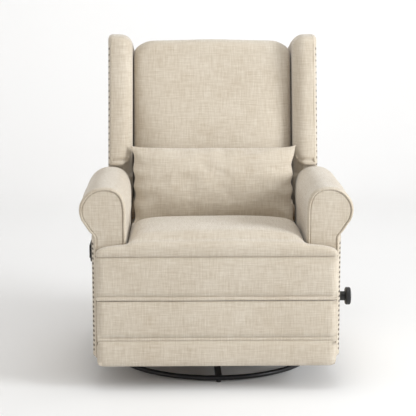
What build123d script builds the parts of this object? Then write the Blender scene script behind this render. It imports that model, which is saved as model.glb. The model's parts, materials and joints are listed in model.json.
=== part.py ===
from build123d import *
import math
import os

# Glider nursery chair, in millimetres.
# X runs along the chair's width, the sitter faces -Y, Z is up.
# The origin is on the floor, under the middle of the chair's outline.

# ---- driving dimensions -------------------------------------------------
FRONT_Y = -455.0            # front face of the seat nose and the footrest
BODY_REAR_Y = 352.0         # rear face of the body under the backrest
FRONT_HALF = 370.0          # half width of the seat nose and the footrest
BODY_HALF = 384.0           # half width over the side panels
SPLAY_BACK = 20.0           # the side panels widen over this depth behind their front edges,
SPLAY_OUT = 12.5            # by this much on each side
REST_HALF = 368.0           # half width of the footrest
ARM_INNER = 277.0           # inner face of each arm
ROLL_X, ROLL_Z, ROLL_R = 348.0, 555.0, 71.0    # rolled arm
ARM_FRONT_Y, ARM_REAR_Y = -405.0, 60.0
SEAM_SEAT_Z = 419.0         # seam under the seat cushion
SEAM_REST_Z = 284.0         # gap between the front border and the footrest
FOOTREST_BOTTOM_Z = 78.0
PANEL_FRONT_Y = -412.0
PANEL_BOTTOM_Z = 95.0       # lower edge of the side and rear panels
PANEL_TOP_Z = 482.0
NOSE_TOP_Z = 457.0          # top of the seat's front corners
SEAT_TOP = [(-448, 450), (-425, 478), (-330, 497), (-210, 502), (-120, 488), (-30, 462), (95, 455)]
SEAT_HALF = 274.5           # half width of the seat between the arms

# backrest, in its own leaning frame: x across, d back from the cushion's face, h up along it
LEAN = 13.0
PILLOW_LEAN = 20.0
BACK_Y, BACK_Z = 70.0, 470.0
BACK_DEPTH = 256.6
BACK_TOP_H = 600.0
CUSHION_HALF = 267.5
CUSHION_TOP_H = 602.0
CUSHION_FACE_D = -20.0
WING_IN, WING_OUT = 272.5, 354.0
WING_SPLAY_BACK, WING_SPLAY_OUT = 22.0, 12.0
WING_TOP_Z = 1067.0
WING_FOOT_Y, WING_FOOT_Z = 45.0, 632.0          # lower end of the wings' front edge
WING_CORNER_Z = 1035.0                          # where that edge starts to round over

# base
BASE_Y = -35.0              # the swivel axis is this far ahead of the origin
RING_R, RING_TUBE_R, RING_Z = 320.0, 8.0, 13.0
ARM_BAR_W = 20.5
BASE_TURN = 1.5             # the base stands turned a little under the chair, in degrees
SPINDLE_R = 15.0
SPIDER_TOP_Z, SPIDER_T = 48.0, 8.0              # raised middle of the four arms, and their thickness
SPIDER_FLAT, SPIDER_KNEE = 90.0, 280.0          # radii where the arms start and stop sloping down
GLIDE_R, GLIDE_H = 7.5, 8.0                     # floor glides under the ring
HUB_PLATE_R, HUB_PLATE_Z, SPINDLE_TOP_Z = 80.0, 53.0, 86.0
NUT_R, NUT_Z0, NUT_Z1 = 24.0, 72.5, 84.0
RACE_R, RACE_HOLE_R, RACE_T = 66.0, 46.0, 3.0
UPPER_RACE_Z = 62.3
BALL_R, BALL_CIRCLE_R, BALL_STEP = 3.0, 56.0, 24
PLATE_Z0, PLATE_Z1 = 65.0, 70.0                 # swivel plate
PLATE_HALF_X, PLATE_HALF_Y = 110.0, 75.0
RAIL_Z0, RAIL_Z1, RAIL_HALF = 67.0, 92.0, 200.0
RUN = 0.05                  # radial clearance of a running fit

# hanging links of the glide
LINK_Y, LINK_TOP_Z, LINK_LOW_Z = 150.0, 225.0, 110.0
LINK_X0, LINK_X1 = 186.0, 190.0
RAIL_X0 = 150.0             # inner face of the swivel rails
STANCHION_X0, STANCHION_X1 = 175.0, 180.0
STANCHION_FOOT, STANCHION_HEAD = 30.0, 13.0     # half widths
CARRIER_X0, CARRIER_X1 = 196.0, 201.0
GLIDE_LINK_W = 26.0
GLIDE_BOLT_R = 5.0
BOLT_HEAD_R, BOLT_HEAD_T = 9.0, 4.0
SPACER_R, END_CAP_T, SIDE_GAP = 8.0, 2.7, 0.3
CROSS_RAIL_W, CROSS_RAIL_Z0, CROSS_RAIL_Z1 = 25.0, 262.0, 287.0

# recliner mechanism: flat plates and links in layers on each side, points are (y, z)
PLATE_X0, PLATE_X1 = 318.0, 322.0
DRIVE_X0, DRIVE_X1 = 311.0, 315.0
FRONT_LINK_X0, FRONT_LINK_X1 = 304.0, 308.0
LIFT_X0, LIFT_X1 = 297.0, 301.0
BRACKET_X0, BRACKET_X1 = 290.0, 294.0
DRIVE_PIVOT = (-150.0, 295.0)
KNEE = (-115.3, 98.0)
FOOT_PIVOT = (-395.0, 195.0)
DOGLEG = (-180.0, 0.0)      # straight run of the front and lift links before they rise
GUIDE_OFFSET = (-35.0, 45.0)
LIFT_OFFSET = (-10.4, 59.1)
LINK_W = 18.0
RIVET_R = 4.0
WASHER_R = 7.0              # rivet heads, and the washers between two links
HINGE_X0, HINGE_X1 = 307.6, 312.5               # hinge arm of the backrest
HINGE_WASHER_R = 10.0
JOURNAL_R = 6.0             # ends of the drive tube, in the mechanism plates
OPEN_CLEARANCE = 0.3        # extra radius in the holes of the pivots that close a loop
BACK_PIVOT = (235.0, 345.0)
BACK_PIVOT_R = 6.0

# side boards between the mechanism plates and the side panels
BOARD_X0, BOARD_X1 = 340.0, 358.0
RAIL_TOP_Z, STRAP_T, SEAT_STRAP_W = 400.0, 1.5, 50.0

# controls
HANDLE_Y, HANDLE_Z = -310.0, 418.0
HANDLE_L, HANDLE_H = 120.0, 64.0
FLANGE_W, FLANGE_T = 8.0, 6.0                   # rim of the handle's cup
CUP_DEPTH, CUP_WALL = 17.0, 2.0
PADDLE_HALF, PADDLE_T = 20.0, 6.0
PADDLE_PIN_R, PADDLE_PIN_AHEAD = 1.5, 30.0
KNOB_Y, KNOB_Z = -366.0, 279.0
KNOB_FACE_X = 418.9
KNOB_R, STEM_R, SHAFT_R = 27.5, 14.5, 5.0
BUSH_HOLE_R = 10.0
BUSH_R, BUSH_FLANGE_R, BUSH_FLANGE_T = 9.9, 13.0, 2.0
KNOB_GAP, HEAD_T, HEAD_ROUND = 0.3, 17.0, 5.0
CAM_X0, CAM_X1, CAM_R, CAM_NOSE_R = 328.0, 334.0, 12.0, 7.0

# nails
NAIL_R, NAIL_RISE = 5.5, 3.0
NAIL_SET = 0.6              # where the nails sit on the splay, from its front edge
BODY_NAIL_PITCH, WING_NAIL_PITCH = 15.2, 20.6
BODY_NAILS_LOW, BODY_NAILS_TOP = 104.0, 470.0
WING_NAILS = 20

# pillow: half sizes and the place of its middle
PILLOW_HALF_W, PILLOW_HALF_D, PILLOW_HALF_H = 262.0, 50.0, 111.0
PILLOW_ROUND = 40.0
PILLOW_Y, PILLOW_Z = 8.0, 576.0


# ---- helpers ------------------------------------------------------------
def block(x0, x1, y0, y1, z0, z1):
    """A rectangular block between two corners."""
    centre = Pos((x0 + x1) / 2, (y0 + y1) / 2, (z0 + z1) / 2)
    return centre * Box(abs(x1 - x0), abs(y1 - y0), abs(z1 - z0))


def soft_block(x0, x1, y0, y1, z0, z1, radius):
    """A block with all its edges rounded, for a padded piece."""
    shape = block(x0, x1, y0, y1, z0, z1)
    return fillet(shape.edges(), radius)


def rod_x(x0, x1, point, radius):
    """A round rod along X at a (y, z) point."""
    return Pos((x0 + x1) / 2, point[0], point[1]) * Rot(0, 90, 0) * Cylinder(radius, abs(x1 - x0))


def rod_z(x, y, z0, z1, radius):
    """A round rod along Z."""
    return Pos(x, y, (z0 + z1) / 2) * Cylinder(radius, abs(z1 - z0))


def slab_x(points, x0, x1):
    """A flat plate with a (y, z) outline, between x0 and x1."""
    outline = Plane.YZ * make_face(Polyline(*points, close=True))
    return Pos(x0, 0, 0) * extrude(outline, amount=x1 - x0)


def link(points, x0, x1, width=LINK_W):
    """A flat link with round ends through a list of (y, z) points."""
    shape = rod_x(x0, x1, points[0], width / 2)
    for start, end in zip(points, points[1:]):
        length = math.dist(start, end)
        angle = math.degrees(math.atan2(end[1] - start[1], end[0] - start[0]))
        middle = Pos((x0 + x1) / 2, (start[0] + end[0]) / 2, (start[1] + end[1]) / 2)
        shape += middle * Rot(angle, 0, 0) * Box(x1 - x0, length, width)
        shape += rod_x(x0, x1, end, width / 2)
    return shape


def shifted(point, offset):
    return (point[0] + offset[0], point[1] + offset[1])


def other_side(shape):
    """The same piece on the other side of the chair."""
    return shape.mirror(Plane.YZ)


def pair(shape):
    """A right piece and its mirror image, as two separate solids."""
    return [shape, other_side(shape)]


def leaning(shape):
    """A piece of the backrest, moved from its own frame to its place."""
    return Pos(0, BACK_Y, BACK_Z) * Rot(-LEAN, 0, 0) * shape


def back_line(d, h):
    """The (y, z) place of a point of the backrest's own frame."""
    lean = math.radians(LEAN)
    y = BACK_Y + d * math.cos(lean) + h * math.sin(lean)
    z = BACK_Z - d * math.sin(lean) + h * math.cos(lean)
    return (y, z)


def save(name, *solids):
    """Write one node; several solids stay separate in it."""
    flat = []
    for solid in solids:
        flat.extend(solid.solids())
    shape = flat[0] if len(flat) == 1 else Compound(children=flat)
    export_step(shape, f"parts/{name}.step")


def save_on_base(name, *solids):
    """Write one node that was drawn with the swivel axis as its middle."""
    save(name, *[Pos(0, BASE_Y, 0) * solid for solid in solids])


# ---- base ---------------------------------------------------------------
def race(z0, z1):
    """A flat ring of the swivel bearing."""
    return rod_z(0, 0, z0, z1, RACE_R) - rod_z(0, 0, z0 - 1, z1 + 1, RACE_HOLE_R)


def base():
    ring = Pos(0, 0, RING_Z) * Torus(RING_R, RING_TUBE_R)
    save_on_base("base_ring", ring)

    under_z = SPIDER_TOP_Z - SPIDER_T
    tip = RING_R - 5
    outline = [(0, under_z), (SPIDER_FLAT, under_z), (SPIDER_KNEE, 12), (tip, 9), (tip, 19),
               (SPIDER_KNEE, 22), (SPIDER_FLAT, SPIDER_TOP_Z), (0, SPIDER_TOP_Z)]
    bar = slab_x(outline, -ARM_BAR_W / 2, ARM_BAR_W / 2)
    arms = bar
    for turn in (90, 180, 270):
        arms += Rot(0, 0, turn) * bar
    save_on_base("base_arms", Rot(0, 0, BASE_TURN) * arms - ring)

    glides = []
    for turn in (0, 90, 180, 270):
        foot = rod_z(0, -RING_R, 0, GLIDE_H, GLIDE_R) - ring
        glides.append(Rot(0, 0, turn + BASE_TURN) * foot)
    save_on_base("floor_glides", *glides)

    hub = rod_z(0, 0, SPIDER_TOP_Z, HUB_PLATE_Z, HUB_PLATE_R)
    save_on_base("hub_spindle", hub + rod_z(0, 0, HUB_PLATE_Z, SPINDLE_TOP_Z, SPINDLE_R))
    nut = rod_z(0, 0, NUT_Z0, NUT_Z1, NUT_R)
    save_on_base("spindle_nut", nut - rod_z(0, 0, NUT_Z0 - 1, NUT_Z1 + 1, SPINDLE_R))

    save_on_base("lower_race", race(HUB_PLATE_Z, HUB_PLATE_Z + RACE_T))
    ball_z = HUB_PLATE_Z + RACE_T + RUN + BALL_R
    balls = []
    for turn in range(0, 360, BALL_STEP):
        balls.append(Rot(0, 0, turn) * Pos(BALL_CIRCLE_R, 0, ball_z) * Sphere(BALL_R))
    save_on_base("bearing_balls", *balls)


# ---- swivel frame -------------------------------------------------------
def swivel_frame():
    save_on_base("upper_race", race(UPPER_RACE_Z, PLATE_Z0))
    plate = block(-PLATE_HALF_X, PLATE_HALF_X, -PLATE_HALF_Y, PLATE_HALF_Y, PLATE_Z0, PLATE_Z1)
    plate = fillet(plate.edges().filter_by(Axis.Z), 15)
    save_on_base("swivel_plate", plate - rod_z(0, 0, PLATE_Z0 - 1, PLATE_Z1 + 1, SPINDLE_R + RUN))
    crossing = block(-RAIL_X0, RAIL_X0, -PLATE_HALF_Y, -PLATE_HALF_Y + 25, PLATE_Z1, RAIL_Z1)
    rail = block(RAIL_X0, STANCHION_X0, -RAIL_HALF, RAIL_HALF, RAIL_Z0, RAIL_Z1)
    save_on_base("swivel_rails", *pair(rail), crossing, crossing.mirror(Plane.XZ))

    posts = []
    for y in (-LINK_Y, LINK_Y):
        outline = [(y - STANCHION_FOOT, RAIL_Z0), (y + STANCHION_FOOT, RAIL_Z0),
                   (y + STANCHION_HEAD, LINK_TOP_Z), (y - STANCHION_HEAD, LINK_TOP_Z)]
        post = slab_x(outline, STANCHION_X0, STANCHION_X1)
        post += rod_x(STANCHION_X0, STANCHION_X1, (y, LINK_TOP_Z), STANCHION_HEAD)
        hole = rod_x(STANCHION_X0 - 1, STANCHION_X1 + 1, (y, LINK_TOP_Z), GLIDE_BOLT_R)
        posts.extend(pair(post - hole))
    save_on_base("stanchions", *posts)

    bolts = []
    for y in (-LINK_Y, LINK_Y):
        point = (y, LINK_TOP_Z)
        bolt = rod_x(STANCHION_X0, LINK_X1 + SIDE_GAP, point, GLIDE_BOLT_R)
        bolt += rod_x(STANCHION_X0 - BOLT_HEAD_T, STANCHION_X0, point, BOLT_HEAD_R)
        bolt += rod_x(LINK_X1 + SIDE_GAP, LINK_X1 + SIDE_GAP + END_CAP_T, point, SPACER_R)
        bolt += rod_x(STANCHION_X1, LINK_X0 - SIDE_GAP, point, SPACER_R)
        bolts.extend(pair(bolt))
    save_on_base("top_pivot_bolts", *bolts)


def glide_links():
    for name, y in (("glide_links_front", -LINK_Y), ("glide_links_rear", LINK_Y)):
        top = (y, LINK_TOP_Z)
        low = (y, LINK_LOW_Z)
        bar = link([top, low], LINK_X0, LINK_X1, GLIDE_LINK_W)
        bar -= rod_x(LINK_X0 - 1, LINK_X1 + 1, top, GLIDE_BOLT_R + RUN)
        bar -= rod_x(LINK_X0 - 1, LINK_X1 + 1, low, GLIDE_BOLT_R + RUN)
        save_on_base(name, *pair(bar))


# ---- chair body ---------------------------------------------------------
def carrier():
    outline = [(-215, 262), (-215, 222), (-174, 205), (-164, 92), (-136, 92), (-126, 205),
               (126, 205), (136, 92), (164, 92), (174, 205), (215, 222), (215, 262)]
    plate = slab_x(outline, CARRIER_X0, CARRIER_X1)
    bolts = []
    for y in (-LINK_Y, LINK_Y):
        point = (y, LINK_LOW_Z)
        plate -= rod_x(CARRIER_X0 - 1, CARRIER_X1 + 1, point, GLIDE_BOLT_R)
        bolt = rod_x(LINK_X0 - SIDE_GAP, CARRIER_X1, point, GLIDE_BOLT_R)
        bolt += rod_x(LINK_X0 - SIDE_GAP - END_CAP_T, LINK_X0 - SIDE_GAP, point, SPACER_R)
        bolt += rod_x(LINK_X1 + SIDE_GAP, CARRIER_X0, point, SPACER_R)
        bolt += rod_x(CARRIER_X1, CARRIER_X1 + BOLT_HEAD_T, point, BOLT_HEAD_R)
        bolts.extend(pair(bolt))
    save_on_base("glide_carriers", *pair(plate))
    save_on_base("bottom_pivot_bolts", *bolts)
    rails = []
    for y in (-80, 120):
        half = CROSS_RAIL_W / 2
        rails.append(block(-PLATE_X0, PLATE_X0, y - half, y + half, CROSS_RAIL_Z0, CROSS_RAIL_Z1))
    save("cross_rails", *rails)


def mechanism_plates():
    outline = [(-225, 300), (-225, 372), (240, 385), (262, 365), (262, 325), (235, 318),
               (150, 255), (-175, 255)]
    plate = slab_x(outline, PLATE_X0, PLATE_X1)
    guide = shifted(DRIVE_PIVOT, GUIDE_OFFSET)
    plate -= rod_x(PLATE_X0 - 1, PLATE_X1 + 1, DRIVE_PIVOT, JOURNAL_R + RUN)
    plate -= rod_x(PLATE_X0 - 1, PLATE_X1 + 1, guide, RIVET_R)
    plate -= rod_x(PLATE_X0 - 1, PLATE_X1 + 1, BACK_PIVOT, BACK_PIVOT_R)
    save("mechanism_plates", *pair(plate))

    fasteners = []
    for point in ((-205, 350), (200, 350), (60, 290), (-60, 350)):
        fasteners.extend(pair(rod_x(PLATE_X1, BOARD_X0, point, 6)))
    pin = rod_x(306, PLATE_X1, BACK_PIVOT, BACK_PIVOT_R)
    pin += rod_x(PLATE_X1, PLATE_X1 + 3, BACK_PIVOT, HINGE_WASHER_R)
    pin += rod_x(HINGE_X1 + SIDE_GAP, PLATE_X0, BACK_PIVOT, HINGE_WASHER_R)
    pin += rod_x(303.5, HINGE_X0 - 0.4, BACK_PIVOT, HINGE_WASHER_R)
    fasteners.extend(pair(pin))
    rivet = rod_x(DRIVE_X0 - SIDE_GAP, PLATE_X1, guide, RIVET_R)
    rivet += rod_x(DRIVE_X0 - 2, DRIVE_X0 - SIDE_GAP, guide, WASHER_R)
    rivet += rod_x(PLATE_X1, PLATE_X1 + 2, guide, WASHER_R)
    rivet += rod_x(DRIVE_X1 + SIDE_GAP, PLATE_X0, guide, WASHER_R)
    fasteners.extend(pair(rivet))
    save("mechanism_fasteners", *fasteners)


def body_frame():
    board = block(BOARD_X0, BOARD_X1, -400, 335, 110, 470)
    bush_hole = rod_x(BOARD_X0 - 1, BOARD_X1 + 1, (KNOB_Y, KNOB_Z), BUSH_HOLE_R)
    save("side_boards", board - bush_hole, other_side(board))
    front = block(-BOARD_X0, BOARD_X0, -412.5, -392.5, 325, RAIL_TOP_Z)
    rear = block(-PLATE_X0, PLATE_X0, 130, 150, 335, RAIL_TOP_Z)
    save("seat_rails", front, rear)
    straps = []
    half = SEAT_STRAP_W / 2
    for x in (-210, -105, 0, 105, 210):
        straps.append(block(x - half, x + half, -405, 148, RAIL_TOP_Z, RAIL_TOP_Z + STRAP_T))
    save("seat_webbing", *straps)


def seat():
    nose = soft_block(-FRONT_HALF, FRONT_HALF, FRONT_Y, -413.5, SEAM_SEAT_Z, NOSE_TOP_Z, 12)
    low = [(SEAT_TOP[-1][0], SEAM_SEAT_Z), (SEAT_TOP[0][0], SEAM_SEAT_Z)]
    crown = slab_x(SEAT_TOP + low, -SEAT_HALF, SEAT_HALF)
    under = block(-SEAT_HALF + 1, SEAT_HALF - 1, -390, 80, 402, 440)
    save("seat_cushion", nose + crown + under)
    border = soft_block(-FRONT_HALF, FRONT_HALF, FRONT_Y, -413, SEAM_REST_Z + 3, SEAM_SEAT_Z - 0.5, 5)
    save("front_border", border)


def arms():
    inner = block(ARM_INNER, BOARD_X0 - 0.5, ARM_FRONT_Y, ARM_REAR_Y, 403, ROLL_Z)
    neck = block(BOARD_X0 - 1, BODY_HALF, ARM_FRONT_Y, ARM_REAR_Y, PANEL_TOP_Z + 0.5, ROLL_Z)
    length = ARM_REAR_Y - ARM_FRONT_Y
    middle = Pos(ROLL_X, (ARM_FRONT_Y + ARM_REAR_Y) / 2, ROLL_Z)
    roll = middle * Rot(90, 0, 0) * Cylinder(ROLL_R, length)
    pad = inner + neck + roll
    save("arm_pad_right", pad)
    save("arm_pad_left", other_side(pad))

    face = rod_z(0, 0, 0, 7.3, ROLL_R)
    face = Pos(ROLL_X, ARM_FRONT_Y - 0.2, ROLL_Z) * Rot(90, 0, 0) * face
    face += block(ARM_INNER, BOARD_X1, -412.5, ARM_FRONT_Y - 0.2, 450, ROLL_Z)
    face += block(ARM_INNER, BODY_HALF, -412.5, ARM_FRONT_Y - 0.2, PANEL_TOP_Z + 0.5, ROLL_Z)
    save("arm_front_right", face)
    save("arm_front_left", other_side(face))


def splay_cut(outer, out, back, z0, z1):
    """What is cut off an upright front edge at y = 0, so that the side widens behind it."""
    corners = [(outer - out, -1), (outer - out, 0), (outer, back), (outer + 1, back), (outer + 1, -1)]
    return Pos(0, 0, z0) * extrude(make_face(Polyline(*corners, close=True)), amount=z1 - z0)


def oval(length, height):
    """An oval of the handle's outline, drawn in (y, z)."""
    return SlotOverall(length, height)


def oval_solid(length, height, x0, x1):
    """The oval, extruded between two x values at the handle's place."""
    drawn = Plane.YZ * oval(length, height)
    return Pos(x0, HANDLE_Y, HANDLE_Z) * extrude(drawn, amount=x1 - x0)


def side_panels():
    panel = block(BOARD_X1 + 0.3, BODY_HALF, PANEL_FRONT_Y, BODY_REAR_Y, PANEL_BOTTOM_Z, PANEL_TOP_Z)
    panel -= Pos(0, PANEL_FRONT_Y, 0) * splay_cut(BODY_HALF, SPLAY_OUT, SPLAY_BACK, 0, PANEL_TOP_Z + 1)
    bush_hole = rod_x(BOARD_X0 - 1, BODY_HALF + 1, (KNOB_Y, KNOB_Z), BUSH_HOLE_R)
    save("side_panel_right", panel - bush_hole)
    left = other_side(panel)
    wall = 2 * FLANGE_W
    left -= oval_solid(HANDLE_L - wall, HANDLE_H - wall, -BODY_HALF - 1, -BODY_HALF + CUP_DEPTH + 0.1)
    save("side_panel_left", left)
    rear = block(-BOARD_X1, BOARD_X1, BODY_REAR_Y - 16, BODY_REAR_Y, PANEL_BOTTOM_Z, 355)
    save("rear_panel", rear)


# ---- controls -----------------------------------------------------------
def handle():
    """An oval cup in the left side panel, with a sprung paddle on an upright pin."""
    face_x = -BODY_HALF
    flange = oval_solid(HANDLE_L, HANDLE_H, face_x - FLANGE_T, face_x)
    wall = 2 * FLANGE_W + 0.4
    cup = oval_solid(HANDLE_L - wall, HANDLE_H - wall, face_x - 2, face_x + CUP_DEPTH)
    wall = 2 * (FLANGE_W + CUP_WALL)
    cup_floor_x = face_x + CUP_DEPTH - CUP_WALL
    hollow = oval_solid(HANDLE_L - wall, HANDLE_H - wall, face_x - FLANGE_T - 1, cup_floor_x)

    pin_x, pin_y = face_x - 4, HANDLE_Y - PADDLE_PIN_AHEAD
    low, high = HANDLE_Z - PADDLE_HALF, HANDLE_Z + PADDLE_HALF
    paddle = block(pin_x - PADDLE_T, pin_x, pin_y - 5, HANDLE_Y + 25, low, high)
    paddle = fillet(paddle.edges().filter_by(Axis.X), 6)
    paddle += rod_z(pin_x, pin_y, low, high, 5)
    paddle -= rod_z(pin_x, pin_y, low - 1, high + 1, PADDLE_PIN_R + RUN)
    save("release_paddle", paddle)
    pin = rod_z(pin_x, pin_y, low - 8, high + 8, PADDLE_PIN_R)
    save("release_bezel", flange + cup - hollow - pin)
    save("paddle_pin", pin)


def knob():
    """A round knob on a stem, turning a cam inside the right side."""
    point = (KNOB_Y, KNOB_Z)
    face_x = BODY_HALF
    flange_x = face_x + BUSH_FLANGE_T
    bush = rod_x(BOARD_X0, face_x, point, BUSH_R) + rod_x(face_x, flange_x, point, BUSH_FLANGE_R)
    save("lock_bush", bush - rod_x(BOARD_X0 - 1, flange_x + 1, point, SHAFT_R + RUN))
    stem = rod_x(flange_x + KNOB_GAP, KNOB_FACE_X - HEAD_T + 1, point, STEM_R)
    head = rod_x(KNOB_FACE_X - HEAD_T, KNOB_FACE_X, point, KNOB_R)
    head = fillet(head.edges(), HEAD_ROUND)
    save("lock_knob", stem + head)
    cam = rod_x(CAM_X0, CAM_X1, point, CAM_R)
    cam += rod_x(CAM_X0, CAM_X1, shifted(point, (0, -CAM_R)), CAM_NOSE_R)
    save("lock_shaft", cam + rod_x(CAM_X0 - 2, flange_x + KNOB_GAP, point, SHAFT_R))


# ---- legrest ------------------------------------------------------------
def legrest_links():
    guide_top = shifted(DRIVE_PIVOT, GUIDE_OFFSET)
    guide_low = shifted(KNEE, GUIDE_OFFSET)
    lift_start = shifted(KNEE, LIFT_OFFSET)
    lift_end = shifted(FOOT_PIVOT, LIFT_OFFSET)
    wide = RIVET_R + RUN
    opened = RIVET_R + OPEN_CLEARANCE

    drive = link([DRIVE_PIVOT, KNEE], DRIVE_X0, DRIVE_X1)
    for point, radius in ((KNEE, RIVET_R), (lift_start, RIVET_R), (DRIVE_PIVOT, JOURNAL_R)):
        drive -= rod_x(DRIVE_X0 - 1, DRIVE_X1 + 1, point, radius)
    save("drive_links", *pair(drive))
    tube = rod_x(-DRIVE_X0, DRIVE_X0, DRIVE_PIVOT, 11)
    tube += rod_x(-PLATE_X1 - 3, PLATE_X1 + 3, DRIVE_PIVOT, JOURNAL_R)
    save("drive_tube", tube)
    knee = rod_x(FRONT_LINK_X0 - 0.2, DRIVE_X1, KNEE, RIVET_R)
    knee += rod_x(FRONT_LINK_X0 - 1.8, FRONT_LINK_X0 - 0.2, KNEE, WASHER_R)
    knee += rod_x(FRONT_LINK_X1 + 0.3, DRIVE_X0, KNEE, WASHER_R)
    lift = rod_x(LIFT_X0 - 0.2, DRIVE_X1, lift_start, RIVET_R)
    lift += rod_x(LIFT_X0 - 2, LIFT_X0 - 0.2, lift_start, WASHER_R)
    lift += rod_x(LIFT_X1 + 0.3, DRIVE_X0, lift_start, WASHER_R)
    save("drive_rivets", *pair(knee), *pair(lift))

    front = link([KNEE, shifted(KNEE, DOGLEG), FOOT_PIVOT], FRONT_LINK_X0, FRONT_LINK_X1)
    front += link([KNEE, guide_low], FRONT_LINK_X0, FRONT_LINK_X1)
    for point, radius in ((KNEE, wide), (FOOT_PIVOT, wide), (guide_low, RIVET_R)):
        front -= rod_x(FRONT_LINK_X0 - 1, FRONT_LINK_X1 + 1, point, radius)
    save("front_links", *pair(front))
    rivet = rod_x(FRONT_LINK_X0, DRIVE_X1 + 0.2, guide_low, RIVET_R)
    rivet += rod_x(DRIVE_X1 + 0.2, DRIVE_X1 + 1.8, guide_low, WASHER_R)
    rivet += rod_x(FRONT_LINK_X1, DRIVE_X0 - 0.3, guide_low, WASHER_R)
    save("front_rivets", *pair(rivet))

    guide = link([guide_top, guide_low], DRIVE_X0, DRIVE_X1)
    guide -= rod_x(DRIVE_X0 - 1, DRIVE_X1 + 1, guide_top, wide)
    guide -= rod_x(DRIVE_X0 - 1, DRIVE_X1 + 1, guide_low, opened)
    save("guide_links", *pair(guide))

    lifter = link([lift_start, shifted(lift_start, DOGLEG), lift_end], LIFT_X0, LIFT_X1)
    lifter -= rod_x(LIFT_X0 - 1, LIFT_X1 + 1, lift_start, wide)
    lifter -= rod_x(LIFT_X0 - 1, LIFT_X1 + 1, lift_end, opened)
    save("lift_links", *pair(lifter))


def footrest():
    lift_end = shifted(FOOT_PIVOT, LIFT_OFFSET)
    board_back = -423.0
    plate = link([FOOT_PIVOT, lift_end], BRACKET_X0, BRACKET_X1)
    plate += block(BRACKET_X0, BRACKET_X1, board_back, -400, 187, 262)
    for point in (FOOT_PIVOT, lift_end):
        plate -= rod_x(BRACKET_X0 - 1, BRACKET_X1 + 1, point, RIVET_R)
    plate += block(262, BRACKET_X0, board_back, board_back + 3, 187, 262)
    save("footrest_brackets", *pair(plate))
    foot = rod_x(BRACKET_X0, FRONT_LINK_X1 + 0.2, FOOT_PIVOT, RIVET_R)
    foot += rod_x(BRACKET_X1, FRONT_LINK_X0 - 0.3, FOOT_PIVOT, WASHER_R)
    foot += rod_x(FRONT_LINK_X1 + 0.2, FRONT_LINK_X1 + 1.8, FOOT_PIVOT, WASHER_R)
    top = rod_x(BRACKET_X0, LIFT_X1 + 0.2, lift_end, RIVET_R)
    top += rod_x(BRACKET_X1, LIFT_X0 - 0.3, lift_end, WASHER_R)
    top += rod_x(LIFT_X1 + 0.2, LIFT_X1 + 1.8, lift_end, WASHER_R)
    save("footrest_rivets", *pair(foot), *pair(top))

    top_z = SEAM_REST_Z - 3.5
    save("footrest_board", block(-350, 350, -437, board_back, 92, 272))
    pad = block(-REST_HALF, REST_HALF, FRONT_Y, -437.3, FOOTREST_BOTTOM_Z, top_z)
    pad = fillet(pad.edges().filter_by(Axis.Y), 16)
    pad = fillet(pad.edges().group_by(Axis.Y)[0], 7)
    save("footrest_pad", pad)


# ---- backrest -----------------------------------------------------------
def backrest():
    front_d, rear_d = 185.0, 225.0
    bottom = leaning(block(-307.5, 307.5, front_d, rear_d, -55, -5))
    stile = leaning(block(215, 262, front_d, rear_d, -5, 575))
    save("back_stiles", *pair(stile))
    middle = leaning(block(-215, 215, front_d, rear_d, 270, 310))
    top = leaning(block(-215, 215, front_d, rear_d, 535, 575))
    save("back_rails", bottom, middle, top)
    straps = []
    for h in (90, 190, 350, 450):
        straps.append(leaning(block(-260, 260, front_d - 2, front_d, h - 25, h + 25)))
    save("back_webbing", *straps)

    # steel arms on the ends of the bottom rail carry the hinge
    rail_points = [back_line(205, -30), back_line(205, -25)]
    arm = link([BACK_PIVOT, *rail_points], HINGE_X0, HINGE_X1, 28)
    arm -= rod_x(HINGE_X0 - 1, HINGE_X1 + 1, BACK_PIVOT, BACK_PIVOT_R + RUN)
    save("back_hinge_arms", *pair(arm))

    cushion = soft_block(-CUSHION_HALF, CUSHION_HALF, CUSHION_FACE_D, 182, 12, CUSHION_TOP_H, 28)
    save("back_cushion", leaning(cushion))
    upper = block(-WING_IN + 0.8, WING_IN - 0.8, rear_d + 0.3, BACK_DEPTH, 60, BACK_TOP_H - 6)
    lower = block(-334, 334, rear_d + 0.3, BACK_DEPTH, -58, 72)
    cap = block(-WING_IN + 0.8, WING_IN - 0.8, 182.5, rear_d + 0.5, 576, BACK_TOP_H - 6)
    save("rear_cover", leaning(upper + lower + cap))


def wing_outline():
    """The wing's side outline in (y, z)."""
    lean = math.tan(math.radians(LEAN))
    front_top = (WING_FOOT_Y + (WING_CORNER_Z - WING_FOOT_Z) * lean, WING_CORNER_Z)
    return [(WING_FOOT_Y, WING_FOOT_Z), (66, WING_FOOT_Z), (66, 489), (BACK_PIVOT[0], 509),
            back_line(BACK_DEPTH, 154), back_line(BACK_DEPTH, BACK_TOP_H), (330, 1052),
            (235, WING_TOP_Z), (190, WING_TOP_Z), (155, 1060), front_top]


# the wing's front edge: z runs up along it, y square to it and back
WING_FRONT = Pos(0, WING_FOOT_Y, WING_FOOT_Z) * Rot(-LEAN, 0, 0)


def wings():
    wing = slab_x(wing_outline(), WING_IN, WING_OUT)
    wing = fillet(wing.edges().filter_by(Axis.X).sort_by(Axis.Z)[-5:], 10)
    wing -= WING_FRONT * splay_cut(WING_OUT, WING_SPLAY_OUT, WING_SPLAY_BACK, -20, 450)
    save("wing_right", wing)
    save("wing_left", other_side(wing))


# ---- nails --------------------------------------------------------------
def nail(outer, out, back, z):
    """A domed nail head on a splayed side whose front edge is at y = 0."""
    radius = (NAIL_R ** 2 + NAIL_RISE ** 2) / (2 * NAIL_RISE)
    cap = Pos(0, 0, NAIL_RISE - radius) * Sphere(radius)
    cap -= block(-10, 10, -10, 10, -20, 0)
    angle = math.degrees(math.atan2(out, back))
    place = Pos(outer - out * (1 - NAIL_SET), back * NAIL_SET, z)
    return place * Rot(0, 0, -angle) * Rot(0, 90, 0) * cap


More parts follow.
